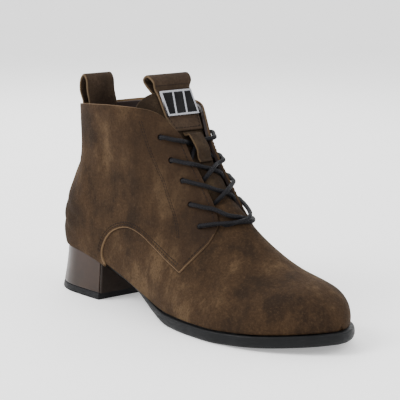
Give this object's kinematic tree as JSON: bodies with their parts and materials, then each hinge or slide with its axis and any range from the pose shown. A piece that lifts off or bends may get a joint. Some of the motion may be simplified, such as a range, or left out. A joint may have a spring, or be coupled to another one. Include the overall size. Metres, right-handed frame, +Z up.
{
  "type": "heeled ankle boot",
  "caption": "Suede lace-up derby ankle boot on a block heel, hollow and open at the collar, with a zip on the inner side and pull loops at heel and tongue.",
  "frame": {"origin": "middle of the heel top piece's walking face, on the floor", "axes": "+X towards the toe, +Y towards the inner (medial) side, +Z up"},
  "size_m": [0.2626, 0.09, 0.157],
  "materials": {
    "suede": "olive brown suede with a short nap",
    "tongue_suede": "olive brown suede with a short nap",
    "lining": "dark brown smooth lining leather",
    "outsole_rubber": "satin black rubber",
    "heel_cover": "glossy taupe lacquer",
    "top_piece_rubber": "satin black rubber",
    "strap_suede": "taupe suede strap with edge stitching",
    "lace_cord": "charcoal round braided cord",
    "badge_metal": "polished silver-coloured metal",
    "badge_enamel": "glossy black enamel",
    "zip_tape": "dark zip teeth and tape",
    "zip_metal": "silver-coloured zip metal"
  },
  "bodies": {
    "boot": {"outsole": "outsole_rubber", "heel_block": "heel_cover", "top_piece": "top_piece_rubber", "insole": "lining", "upper": "suede", "tongue": "tongue_suede", "tongue_pull": "strap_suede", "lace_keeper": "strap_suede", "heel_pull": "strap_suede", "badge_frame": "badge_metal", "badge_enamel_1": "badge_enamel", "badge_enamel_2": "badge_enamel", "badge_enamel_3": "badge_enamel", "lace_bar": "lace_cord", "lace_crossing_1": "lace_cord", "lace_crossing_2": "lace_cord", "lace_crossing_3": "lace_cord", "lace_crossing_4": "lace_cord", "zip_chain": "zip_tape", "zip_slider": "zip_metal"},
    "zip_tab": {"zip_pull": "zip_metal"}
  },
  "joints": [
    {"name": "zip_tab_swing", "type": "hinge", "parent": "boot", "child": "zip_tab", "pos_m": [0.026, 0.0369, 0.12603], "axis": [1, 0, 0], "range_deg": [0, 150]}
  ]
}
